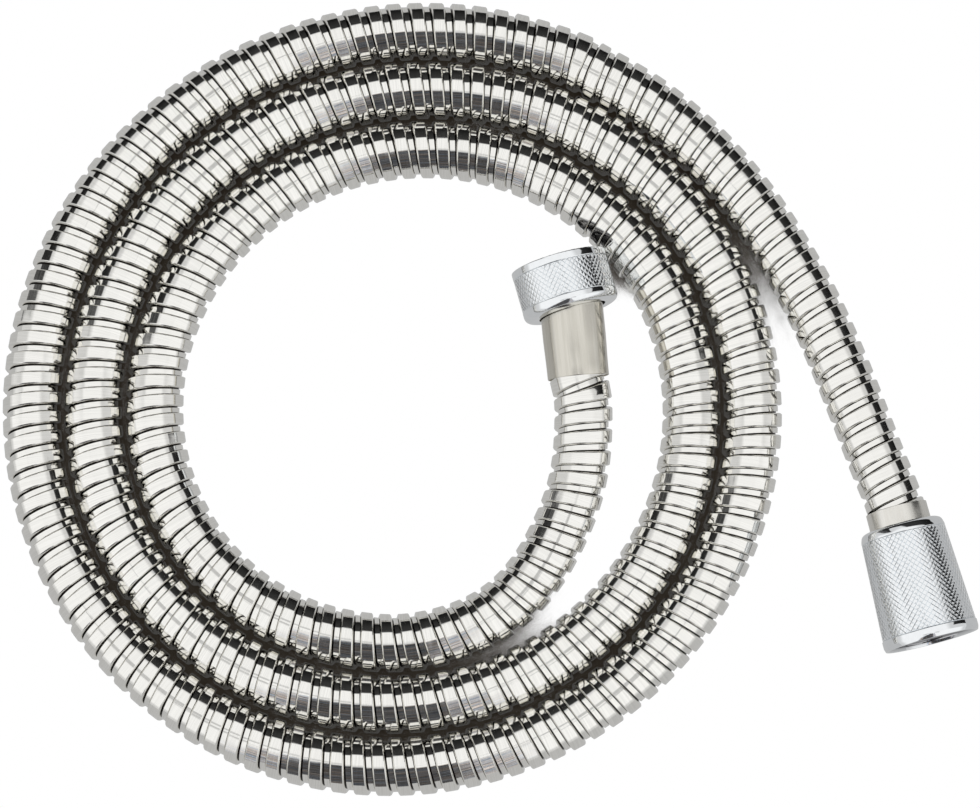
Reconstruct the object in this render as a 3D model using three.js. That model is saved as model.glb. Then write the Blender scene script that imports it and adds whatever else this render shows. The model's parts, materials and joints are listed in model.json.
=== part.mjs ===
// Shower hose, about 1.5 m long, lying in a flat spiral of nearly three turns.
// A strip-wound metal hose holds a rubber inner tube. Each end has a crimped
// ferrule, a barbed stem, a loose union nut and a sealing washer.
// Millimetres, +Z up. The inner end carries the round nut, the tail the cone nut.
import {
  Box3, CatmullRomCurve3, ExtrudeGeometry, Group, LatheGeometry, MathUtils, Mesh,
  MeshStandardMaterial, Path, Shape, Vector2, Vector3,
} from 'three';

const gap = 0.3; // running clearance between neighbouring pieces

const hose = {
  crestRadius: 7, // over the raised bands of the winding
  meanRadius: 6.8, // averaged over bands and valleys
  boreRadius: 5.6,
  sides: 12,
  steps: 84,
};
const innerTube = { boreRadius: 4, sides: 8 };

// The spiral, turned clockwise outwards from the inner end, seen from above.
const coil = {
  startRadius: 53.3,
  turnGap: 0.8, // between the crests of one turn and the next
  oval: 0.93, // the turns are this much longer one way than round
  ovalTurn: 60, // degrees
  firstAngle: 100,
  lastAngle: 1025,
  pointsPerTurn: 24,
};

// The hose between ferrule and spiral, as points seen from above.
const innerRun = [
  [42.2, 2.6], [42.3, -6], [41.5, -14.7], [39.4, -23.1], [36, -31.1], [31.8, -38.6],
  [26.3, -45.3], [19.4, -50.6], [11, -54.3], [1, -56.5],
];
const tail = [
  [45, 83.8], [59, 75.3], [71.4, 64.6], [82.3, 51.9], [91.2, 38], [98.6, 23.6],
  [104.4, 9.6], [109.2, -3.4], [113, -13.8], [115.6, -20.4],
];
const innerRise = 105; // length over which the hose comes down from its nut to the table
const tailRise = 100;

const ferrule = {
  length: 19.5,
  radius: 7.6,
  crimpRadius: 7.4,
  crimpLength: 6,
  crimpTaper: 1,
  wall: 0.3,
  lip: 0.6,
  hoseStop: 4, // from the end of the winding to the ferrule's far end
  sides: 36,
};
const stem = {
  boreRadius: 2.6,
  barbRadius: 3.55,
  barbDepth: 0.45,
  barbCount: 4,
  barbPitch: 2.6,
  barbSlope: 0.8, // share of a barb's pitch over which it widens
  neckRadius: 4.6,
  neckLength: 2,
  flangeRadius: 8.8,
  flangeThickness: 1.2,
  tip: 2, // from the ferrule's mouth to the end of the tail
  sides: 32,
};
const washer = { radius: 9, boreRadius: 5.2, thickness: 1.6, sides: 32 };

// G 1/2 union thread, left plain at its crests.
const thread = { crestRadius: 9.3, rootRadius: 10.4, leadIn: 0.7 };

const roundNut = {
  radius: 11.7,
  length: 12.8,
  backWall: 1.8,
  relief: 3.2,
  mouthBand: 2.1,
  backBand: 3,
  bandStep: 0.15,
  chamferLength: 1.1,
  chamferDepth: 1.6,
  chamferBow: 0.35, // share of the chamfer's size where it bends
  edge: 0.35,
  sides: 40,
};
const coneNut = {
  length: 28.6,
  faceRadius: 8.6,
  smallRadius: 10.2,
  largeRadius: 11.4,
  shoulderLength: 1.9,
  shoulderBow: 0.7, // share of the shoulder's rise made in its steep first stretch
  backBand: 2.5,
  bandFlare: 0.05,
  ringRadius: 11.6,
  ringLength: 2.7,
  ringFlat: 0.35, // share of the ring's length before it tapers to the mouth
  mouthRadius: 11.15,
  seatDepth: 15.2, // from the small end to the step that pulls on the flange
  sides: 40,
};

// Where each ferrule opens to the hose, and which way it points, in degrees from Y.
const innerEnd = { mouth: [41.2, 7.1], lean: 5.6, pitch: 4, nutLean: 15.7 };
const tailEnd = { mouth: [117.1, -24.8], lean: 14.3 };

const steel = new MeshStandardMaterial({ color: 0xd9d7d0, roughness: 0.18, metalness: 1 });
const satinNickel = new MeshStandardMaterial({ color: 0xc9c3b4, roughness: 0.35, metalness: 1 });
const chrome = new MeshStandardMaterial({ color: 0xe4e7ea, roughness: 0.12, metalness: 1 });
const brass = new MeshStandardMaterial({ color: 0xc8a24a, roughness: 0.35, metalness: 1 });
const blackRubber = new MeshStandardMaterial({ color: 0x161616, roughness: 0.8, metalness: 0 });
const tubeRubber = new MeshStandardMaterial({ color: 0x2a2a2b, roughness: 0.7, metalness: 0 });

const model = new Group();

// Horizontal direction that leans from +Y towards +X, raised by a pitch.
function direction(leanDegrees, pitchDegrees = 0) {
  const lean = MathUtils.degToRad(leanDegrees);
  const pitch = MathUtils.degToRad(pitchDegrees);
  return new Vector3(
    Math.sin(lean) * Math.cos(pitch),
    Math.cos(lean) * Math.cos(pitch),
    Math.sin(pitch),
  );
}

function pointAlong(start, way, distance) {
  return start.clone().addScaledVector(way, distance);
}

// A group whose own +Y runs along a fitting's axis.
function axisGroup(origin, way) {
  const group = new Group();
  group.position.copy(origin);
  group.quaternion.setFromUnitVectors(new Vector3(0, 1, 0), way);
  model.add(group);
  return group;
}

// A turned piece from a closed outline of [radius, distance along the axis].
function turned(name, outline, sides, material) {
  const points = outline.map(([radius, along]) => new Vector2(radius, along));
  points.push(points[0].clone());
  const mesh = new Mesh(new LatheGeometry(points, sides), material);
  mesh.name = name;
  return mesh;
}

// A pipe swept along a curve.
function swept(name, curve, outerRadius, boreRadius, sides, material) {
  const section = new Shape();
  section.absarc(0, 0, outerRadius, 0, 2 * Math.PI);
  const bore = new Path();
  bore.absarc(0, 0, boreRadius, 0, 2 * Math.PI);
  section.holes.push(bore);
  const mesh = new Mesh(
    new ExtrudeGeometry(section, { extrudePath: curve, steps: hose.steps, curveSegments: sides / 2 }),
    material,
  );
  mesh.name = name;
  return mesh;
}

// Ends of the hose: axis, height and the places along it

const innerWay = direction(-innerEnd.lean, innerEnd.pitch);
const roundNutWay = direction(-innerEnd.nutLean);
const tailWay = direction(180 - tailEnd.lean);
const cocked = innerWay.angleTo(roundNutWay); // the round nut sits crooked on its ferrule
const flangeStart = ferrule.length + gap;

// The round nut turns about the middle of its back wall, as close behind the flange as its tilt lets it.
const pivotToFlange = (
  stem.flangeRadius * Math.sin(cocked) + roundNut.backWall / 2 + gap
) / Math.cos(cocked);
const pivotDistance = flangeStart - pivotToFlange;

const innerMouth = new Vector3(
  innerEnd.mouth[0],
  innerEnd.mouth[1],
  roundNut.radius - pivotDistance * innerWay.z,
);
const tailMouth = new Vector3(tailEnd.mouth[0], tailEnd.mouth[1], coneNut.ringRadius);

// Route of the hose's centre line

function coilPoint(angle) {
  const radians = MathUtils.degToRad(angle);
  const growth = 2 * hose.crestRadius + coil.turnGap;
  const ovalness = coil.oval * Math.cos(2 * radians + MathUtils.degToRad(coil.ovalTurn));
  const radius = coil.startRadius + growth * angle / 360 + ovalness;
  return [radius * Math.cos(radians), -radius * Math.sin(radians)];
}

function spiral() {
  const points = [];
  const turnStep = 360 / coil.pointsPerTurn;
  for (let angle = coil.firstAngle; angle <= coil.lastAngle; angle += turnStep) {
    points.push(coilPoint(angle));
  }
  return points;
}

// Heights ease from an end's own height down to the table.
function layDown(points, start, riseLength, startSlope) {
  const drop = start.z - hose.crestRadius;
  let travelled = 0;
  let previous = start;
  return points.map(([x, y]) => {
    travelled += Math.hypot(x - previous.x, y - previous.y);
    const u = Math.min(travelled / riseLength, 1);
    const cubic = 1 - 3 * u * u + 2 * u * u * u;
    const bend = startSlope * riseLength * u * (1 - u) * (1 - u);
    previous = new Vector3(x, y, hose.crestRadius + drop * cubic - bend);
    return previous;
  });
}

function hoseRoute(depth) {
  const insideInner = [depth, depth / 2, 0].map((distance) => pointAlong(innerMouth, innerWay, distance));
  const insideTail = [0, depth / 2, depth].map((distance) => pointAlong(tailMouth, tailWay, distance));
  const innerSlope = innerWay.z / Math.hypot(innerWay.x, innerWay.y);
  const run = layDown(innerRun, innerMouth, innerRise, innerSlope);
  const turns = spiral().map(([x, y]) => new Vector3(x, y, hose.crestRadius));
  const tailRun = layDown([...tail].reverse(), tailMouth, tailRise, 0).reverse();
  return new CatmullRomCurve3([...insideInner, ...run, ...turns, ...tailRun, ...insideTail]);
}

const hoseDepth = ferrule.length - ferrule.hoseStop;
model.add(swept('outer_hose', hoseRoute(hoseDepth), hose.meanRadius, hose.boreRadius, hose.sides, steel));
const tubeDepth = flangeStart - stem.neckLength - gap;
const tubeRadius = hose.boreRadius * Math.cos(Math.PI / hose.sides) - gap;
model.add(swept('inner_tube', hoseRoute(tubeDepth), tubeRadius, innerTube.boreRadius, innerTube.sides,
  tubeRubber));

// Ferrule and stem, the same at both ends, measured from the ferrule's open mouth

function ferruleMesh(name) {
  const { length, radius, crimpRadius, crimpLength, crimpTaper, wall, lip, sides } = ferrule;
  const crimpEnd = crimpLength + crimpTaper;
  return turned(name, [
    [crimpRadius - wall, 0], [crimpRadius, 0], [crimpRadius, crimpLength], [radius, crimpEnd],
    [radius, length - wall], [radius - wall, length], [stem.neckRadius + gap, length],
    [stem.neckRadius + gap, length - lip], [radius - wall, length - lip],
    [radius - wall, crimpEnd], [crimpRadius - wall, crimpLength],
  ], sides, satinNickel);
}

function stemMesh(name) {
  const { boreRadius, barbRadius, barbDepth, barbCount, barbPitch, barbSlope } = stem;
  const { neckRadius, neckLength, sides } = stem;
  const neckStart = flangeStart - neckLength;
  const rootRadius = barbRadius - barbDepth;
  const outline = [[boreRadius, stem.tip], [rootRadius, stem.tip]];
  for (let barb = 0; barb < barbCount; barb += 1) {
    const start = stem.tip + barb * barbPitch;
    outline.push([barbRadius, start + barbPitch * barbSlope], [rootRadius, start + barbPitch]);
  }
  outline.push(
    [rootRadius, neckStart], [neckRadius, neckStart], [neckRadius, flangeStart],
    [stem.flangeRadius, flangeStart], [stem.flangeRadius, flangeStart + stem.flangeThickness],
    [boreRadius, flangeStart + stem.flangeThickness],
  );
  return turned(name, outline, sides, brass);
}

function washerMesh(name, start) {
  const { radius, boreRadius, thickness, sides } = washer;
  return turned(name, [
    [boreRadius, start], [radius, start], [radius, start + thickness], [boreRadius, start + thickness],
  ], sides, blackRubber);
}

const innerFitting = axisGroup(innerMouth, innerWay);
innerFitting.add(ferruleMesh('round_nut_ferrule'), stemMesh('round_nut_stem'));
const tailFitting = axisGroup(tailMouth, tailWay);
tailFitting.add(ferruleMesh('cone_nut_ferrule'), stemMesh('cone_nut_stem'));

// Round nut, measured from its back face. Its hole clears the ferrule at the nut's own tilt.

const halfWall = roundNut.backWall / 2;
const roundHole = (ferrule.radius + gap + halfWall * Math.sin(cocked)) / Math.cos(cocked);
const roundNutBack = pointAlong(pointAlong(innerMouth, innerWay, pivotDistance), roundNutWay, -halfWall);

function roundNutMesh() {
  const { radius, length, backWall, relief, mouthBand, backBand, bandStep, edge, sides } = roundNut;
  const { chamferLength, chamferDepth, chamferBow } = roundNut;
  const knurlRadius = radius - bandStep;
  return turned('round_nut', [
    [roundHole, 0], [radius - chamferDepth, 0],
    [radius - chamferDepth * chamferBow, chamferLength * chamferBow], [radius, chamferLength],
    [radius, backBand], [knurlRadius, backBand], [knurlRadius, length - mouthBand],
    [radius, length - mouthBand], [radius, length - edge], [radius - edge, length],
    [thread.crestRadius + thread.leadIn, length], [thread.crestRadius, length - thread.leadIn],
    [thread.crestRadius, backWall + relief], [thread.rootRadius, backWall + relief],
    [thread.rootRadius, backWall], [roundHole, backWall],
  ], sides, chrome);
}

const flangeCorner = halfWall + (pivotToFlange + stem.flangeThickness) * Math.cos(cocked)
  + stem.flangeRadius * Math.sin(cocked);
axisGroup(roundNutBack, roundNutWay).add(
  roundNutMesh(),
  washerMesh('round_nut_washer', flangeCorner + gap),
);

// Cone nut, measured from its small end. Its inner step pulls on the flange.

function coneNutMesh() {
  const { length, faceRadius, smallRadius, largeRadius, shoulderLength, shoulderBow, sides } = coneNut;
  const { backBand, bandFlare, ringRadius, ringLength, ringFlat, mouthRadius, seatDepth } = coneNut;
  const boreRadius = ferrule.radius + gap;
  const ringStart = length - ringLength;
  return turned('cone_nut', [
    [boreRadius, 0], [faceRadius, 0],
    [faceRadius + (smallRadius - faceRadius) * shoulderBow, shoulderLength * (1 - shoulderBow)],
    [smallRadius, shoulderLength], [smallRadius + bandFlare, backBand], [largeRadius, ringStart],
    [ringRadius, ringStart], [ringRadius, ringStart + ringLength * ringFlat], [mouthRadius, length],
    [thread.crestRadius + thread.leadIn, length], [thread.crestRadius, length - thread.leadIn],
    [thread.crestRadius, seatDepth], [boreRadius, seatDepth],
  ], sides, chrome);
}

const coneNutStart = flangeStart - gap - coneNut.seatDepth;
const tailWasherStart = flangeStart + stem.flangeThickness + gap - coneNutStart;
axisGroup(pointAlong(tailMouth, tailWay, coneNutStart), tailWay).add(
  coneNutMesh(),
  washerMesh('cone_nut_washer', tailWasherStart),
);

// The origin is the middle of the footprint, on the table.
const box = new Box3().setFromObject(model, true);
const middle = box.getCenter(new Vector3());
model.position.set(-middle.x, -middle.y, -box.min.z);
model.updateMatrixWorld(true);

export default model;
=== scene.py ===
# A chromed shower hose lying in a flat spiral, dressed around its measured frame.
import json
import math

import bpy
from mathutils import Matrix, Vector


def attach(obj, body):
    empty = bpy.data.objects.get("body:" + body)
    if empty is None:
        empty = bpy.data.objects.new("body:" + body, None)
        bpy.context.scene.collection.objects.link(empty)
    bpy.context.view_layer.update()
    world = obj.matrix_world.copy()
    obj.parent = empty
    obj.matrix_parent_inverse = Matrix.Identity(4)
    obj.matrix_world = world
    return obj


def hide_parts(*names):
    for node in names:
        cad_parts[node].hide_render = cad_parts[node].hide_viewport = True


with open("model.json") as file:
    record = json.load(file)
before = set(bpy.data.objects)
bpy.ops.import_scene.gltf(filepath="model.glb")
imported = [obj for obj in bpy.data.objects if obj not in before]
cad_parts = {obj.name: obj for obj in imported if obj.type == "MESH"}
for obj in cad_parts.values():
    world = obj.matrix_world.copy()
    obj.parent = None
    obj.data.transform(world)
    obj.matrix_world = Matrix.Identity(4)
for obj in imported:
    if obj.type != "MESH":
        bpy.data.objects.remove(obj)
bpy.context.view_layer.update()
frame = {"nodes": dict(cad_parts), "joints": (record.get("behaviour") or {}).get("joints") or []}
mm = 0.001
print("frame loaded, with", len(frame["nodes"]), "pieces")


# Camera, looking steeply down from the near side

photoView = {
    "target": (0.60, -2.46, 7.0),  # mm, seen in the middle of the picture
    "elevation": 81,  # degrees above the table
    "distance": 1000,  # mm
    "lens": 152.1,
    "sensor": 36,
    "depth": (0.05, 10),  # metres, nearest and farthest that it sees
}


def makeCamera():
    elevation = math.radians(photoView["elevation"])
    back = Vector((0, -math.cos(elevation), math.sin(elevation)))
    data = bpy.data.cameras.new("photoCamera")
    data.lens = photoView["lens"]
    data.sensor_width = photoView["sensor"]
    data.clip_start, data.clip_end = photoView["depth"]
    camera = bpy.data.objects.new("photoCamera", data)
    camera.location = (Vector(photoView["target"]) + back * photoView["distance"]) * mm
    camera.rotation_mode = "QUATERNION"
    camera.rotation_quaternion = (-back).to_track_quat("-Z", "Y")
    bpy.context.scene.collection.objects.link(camera)
    bpy.context.scene.camera = camera


makeCamera()


# Helpers for node trees, shading and geometry alike. A value is a number or another node's socket

def feed(tree, socket, value):
    if isinstance(value, bpy.types.NodeSocket):
        tree.links.new(value, socket)
    else:
        socket.default_value = value


def addNode(tree, kind, sockets=None, **settings):
    node = tree.nodes.new(kind)
    for name, value in settings.items():
        setattr(node, name, value)
    for name, value in (sockets or {}).items():
        feed(tree, node.inputs[name], value)
    return node


def calc(tree, operation, *values):
    node = addNode(tree, "ShaderNodeMath", operation=operation)
    for socket, value in zip(node.inputs, values):
        feed(tree, socket, value)
    return node.outputs[0]


def vectorCalc(tree, operation, *values):
    node = addNode(tree, "ShaderNodeVectorMath", operation=operation)
    for socket, value in zip(node.inputs, values):
        feed(tree, socket, value)
    return node.outputs[0]


def scaleVector(tree, vector, factor):
    node = addNode(tree, "ShaderNodeVectorMath", operation="SCALE")
    feed(tree, node.inputs[0], vector)
    feed(tree, node.inputs["Scale"], factor)
    return node.outputs[0]


def combine(tree, x, y, z):
    return addNode(tree, "ShaderNodeCombineXYZ", {"X": x, "Y": y, "Z": z}).outputs[0]


def splitVector(tree, vector):
    return addNode(tree, "ShaderNodeSeparateXYZ", {"Vector": vector}).outputs


def mixValue(tree, factor, whenZero, whenOne):
    node = addNode(tree, "ShaderNodeMix", data_type="FLOAT")
    for socket, value in zip((node.inputs[0], node.inputs[2], node.inputs[3]), (factor, whenZero, whenOne)):
        feed(tree, socket, value)
    return node.outputs[0]


def mixColour(tree, factor, whenZero, whenOne):
    node = addNode(tree, "ShaderNodeMix", data_type="RGBA")
    for socket, value in zip((node.inputs[0], node.inputs[6], node.inputs[7]), (factor, whenZero, whenOne)):
        feed(tree, socket, value)
    return node.outputs[2]


def shareOf(tree, value, low, high):
    # 0 at low, 1 at high, with a smooth step between; low may be the greater
    return addNode(tree, "ShaderNodeMapRange", {
        "Value": value, "From Min": low, "From Max": high,
    }, interpolation_type="SMOOTHSTEP").outputs[0]


def between(tree, value, low, high, soft):
    # 1 where value lies from low to high, fading out over soft on either side
    rise = shareOf(tree, calc(tree, "SUBTRACT", value, low), -soft, soft)
    fall = shareOf(tree, calc(tree, "SUBTRACT", value, high), soft, -soft)
    return calc(tree, "MULTIPLY", rise, fall)


def colourRamp(tree, value, stops):
    # stops are (place, colour)
    node = addNode(tree, "ShaderNodeValToRGB")
    elements = node.color_ramp.elements
    while len(elements) < len(stops):
        elements.new(1)
    for element, (place, colour) in zip(elements, stops):
        element.position = place
        element.color = (*colour, 1)
    tree.links.new(value, node.inputs[0])
    return node.outputs[0]


def newTree(name, inputs):
    # a geometry node tree with a named input for each size
    tree = bpy.data.node_groups.new(name, "GeometryNodeTree")
    tree.interface.new_socket("Geometry", in_out="OUTPUT", socket_type="NodeSocketGeometry")
    tree.interface.new_socket("Geometry", in_out="INPUT", socket_type="NodeSocketGeometry")
    for socketName, kind in inputs.items():
        tree.interface.new_socket(socketName, in_out="INPUT", socket_type="NodeSocket" + kind)
    return tree, tree.nodes.new("NodeGroupInput").outputs, tree.nodes.new("NodeGroupOutput").inputs


def gridCell(tree, columns):
    # row and column of each point of a grid
    index = addNode(tree, "GeometryNodeInputIndex").outputs[0]
    row = calc(tree, "FLOOR", calc(tree, "DIVIDE", calc(tree, "ADD", index, 0.5), columns))
    column = calc(tree, "SUBTRACT", index, calc(tree, "MULTIPLY", row, columns))
    return row, column


def sampleAt(tree, geometry, index):
    position = addNode(tree, "GeometryNodeInputPosition").outputs[0]
    sample = addNode(tree, "GeometryNodeSampleIndex", data_type="FLOAT_VECTOR")
    feed(tree, sample.inputs["Geometry"], geometry)
    feed(tree, sample.inputs["Value"], position)
    feed(tree, sample.inputs["Index"], index)
    return splitVector(tree, sample.outputs[0])


def finishTree(tree, mesh, edgeAngle, material, output):
    # sharp edges past an angle, smooth elsewhere, then one plain mesh in its material
    angle = addNode(tree, "GeometryNodeInputMeshEdgeAngle").outputs["Unsigned Angle"]
    sharp = addNode(tree, "FunctionNodeCompare", {"A": angle, "B": edgeAngle}, operation="GREATER_THAN")
    smooth = addNode(tree, "GeometryNodeSetShadeSmooth", {"Geometry": mesh, "Shade Smooth": True})
    creased = addNode(tree, "GeometryNodeSetShadeSmooth", {
        "Geometry": smooth.outputs[0], "Selection": sharp.outputs[0], "Shade Smooth": False,
    }, domain="EDGE")
    real = addNode(tree, "GeometryNodeRealizeInstances", {"Geometry": creased.outputs[0]})
    painted = addNode(tree, "GeometryNodeSetMaterial", {"Geometry": real.outputs[0], "Material": material})
    tree.links.new(painted.outputs[0], output)


def pointObject(name, points, joined=False):
    mesh = bpy.data.meshes.new(name)
    edges = [(i, i + 1) for i in range(len(points) - 1)] if joined else []
    mesh.from_pydata([tuple(p) for p in points], edges, [])
    item = bpy.data.objects.new(name, mesh)
    bpy.context.scene.collection.objects.link(item)
    return item


def runTree(carrier, tree, values, name):
    # the tree's result on the carrier, as a plain mesh object
    modifier = carrier.modifiers.new(name, "NODES")
    modifier.node_group = tree
    for item in tree.interface.items_tree:
        if item.in_out == "INPUT" and item.name in values:
            modifier[item.identifier] = values[item.name]
    depsgraph = bpy.context.evaluated_depsgraph_get()
    mesh = bpy.data.meshes.new_from_object(
        carrier.evaluated_get(depsgraph), preserve_all_data_layers=True, depsgraph=depsgraph)
    carrier.modifiers.remove(modifier)
    bpy.data.objects.remove(carrier)
    mesh.name = name
    piece = bpy.data.objects.new(name, mesh)
    bpy.context.scene.collection.objects.link(piece)
    print(name, "has", len(mesh.polygons), "faces")
    return piece


# Route of the hose, from inside the round nut's ferrule to inside the cone nut's, in mm

hoseLay = {
    "drawingZero": (-19.2894, -3.687, 0),  # the solids' own drawing origin, in the frame
    "restHeight": 7,
    "depth": 15.5,  # how far each end reaches into its ferrule
    "innerMouth": (41.2, 7.1, 10.5218),  # where the hose enters the round nut's ferrule
    "innerLean": -5.6,  # degrees from +Y
    "innerPitch": 4,  # degrees up
    "innerRise": 105,  # length over which it comes down to the table
    "innerRun": (
        (42.2, 2.6), (42.3, -6), (41.5, -14.7), (39.4, -23.1), (36, -31.1), (31.8, -38.6),
        (26.3, -45.3), (19.4, -50.6), (11, -54.3), (1, -56.5),
    ),
    "tailMouth": (117.1, -24.8, 11.6),  # where it enters the cone nut's ferrule
    "tailLean": 165.7,
    "tailRise": 100,
    "tail": (
        (45, 83.8), (59, 75.3), (71.4, 64.6), (82.3, 51.9), (91.2, 38), (98.6, 23.6),
        (104.4, 9.6), (109.2, -3.4), (113, -13.8), (115.6, -20.4),
    ),
    "startRadius": 53.3,
    "turnGrowth": 14.8,  # from one turn to the next
    "oval": 0.93,
    "ovalTurn": 60,
    "firstAngle": 100,
    "lastAngle": 1025,
    "pointsPerTurn": 24,
    "stepsPerPoint": 12,
}


def direction(lean, pitch=0):
    lean, pitch = math.radians(lean), math.radians(pitch)
    return Vector((math.sin(lean) * math.cos(pitch), math.cos(lean) * math.cos(pitch), math.sin(pitch)))


def coilPoint(angle):
    turn = math.radians(angle)
    ovalness = hoseLay["oval"] * math.cos(2 * turn + math.radians(hoseLay["ovalTurn"]))
    radius = hoseLay["startRadius"] + hoseLay["turnGrowth"] * angle / 360 + ovalness
    return Vector((radius * math.cos(turn), -radius * math.sin(turn), hoseLay["restHeight"]))


def layDown(points, start, riseLength, startSlope=0):
    # heights ease from the fitting's own height down to the table
    drop = start.z - hoseLay["restHeight"]
    travelled = 0
    previous = start
    laid = []
    for x, y in points:
        travelled += math.hypot(x - previous.x, y - previous.y)
        u = min(travelled / riseLength, 1)
        height = drop * (1 - 3 * u ** 2 + 2 * u ** 3) - startSlope * riseLength * u * (1 - u) ** 2
        previous = Vector((x, y, hoseLay["restHeight"] + height))
        laid.append(previous)
    return laid


def smoothRoute(points, stepsPerPoint):
    # centripetal Catmull-Rom curve through the points
    padded = [points[0] * 2 - points[1], *points, points[-1] * 2 - points[-2]]
    route = []
    for a, b, c, d in zip(padded, padded[1:], padded[2:], padded[3:]):
        near, own, far = (math.sqrt((q - p).length) for p, q in ((a, b), (b, c), (c, d)))
        leave = ((b - a) / near - (c - a) / (near + own) + (c - b) / own) * own
        arrive = ((c - b) / own - (d - b) / (own + far) + (d - c) / far) * own
        for step in range(stepsPerPoint):
            t = step / stepsPerPoint
            square = (3 * (c - b) - 2 * leave - arrive) * t ** 2
            cube = (2 * (b - c) + leave + arrive) * t ** 3
            route.append(b + leave * t + square + cube)
    return route + [points[-1]]


def hoseRoute():
    innerMouth, tailMouth = Vector(hoseLay["innerMouth"]), Vector(hoseLay["tailMouth"])
    innerWay = direction(hoseLay["innerLean"], hoseLay["innerPitch"])
    tailWay = direction(hoseLay["tailLean"])
    depth = hoseLay["depth"]
    inside = [innerMouth + innerWay * along for along in (depth, depth / 2, 0)]
    slope = math.tan(math.radians(hoseLay["innerPitch"]))
    inner = layDown(hoseLay["innerRun"], innerMouth, hoseLay["innerRise"], slope)
    turnStep = 360 / hoseLay["pointsPerTurn"]
    count = int((hoseLay["lastAngle"] - hoseLay["firstAngle"]) / turnStep) + 1
    turns = [coilPoint(hoseLay["firstAngle"] + i * turnStep) for i in range(count)]
    tail = layDown(hoseLay["tail"][::-1], tailMouth, hoseLay["tailRise"])[::-1]
    end = [tailMouth + tailWay * along for along in (0, depth / 2, depth)]
    points = [*inside, *inner, *turns, *tail, *end]
    return [(p + Vector(hoseLay["drawingZero"])) * mm for p in smoothRoute(points, hoseLay["stepsPerPoint"])]


# Strip-wound casing: one strip wound in a helix, each turn hooked over the last

winding = {
    "pitch": 5.0,
    "sides": 28,
    "bore": 5.35,
    "endRadius": 6.0,  # where the cut ends close
    "boreRings": 100,
    "weld": 0.01,  # mm, points nearer than this become one
    "edgeAngle": 33,  # degrees, past which an edge stays crisp
    "wander": 0.07,  # mm that a turn may stand proud or low
    "wanderPace": 0.7,  # how fast that changes from turn to turn
    "drift": 0.25,  # mm that a turn may stray along the hose
    "driftPace": 0.4,
    "section": (  # share of the pitch, radius
        (0.056, 5.60), (0.064, 6.60), (0.092, 6.85), (0.134, 7.00), (0.640, 7.00), (0.678, 6.85),
        (0.700, 6.55), (0.706, 5.70), (0.738, 6.05), (0.982, 6.05), (0.988, 5.60),
    ),
}


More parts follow.
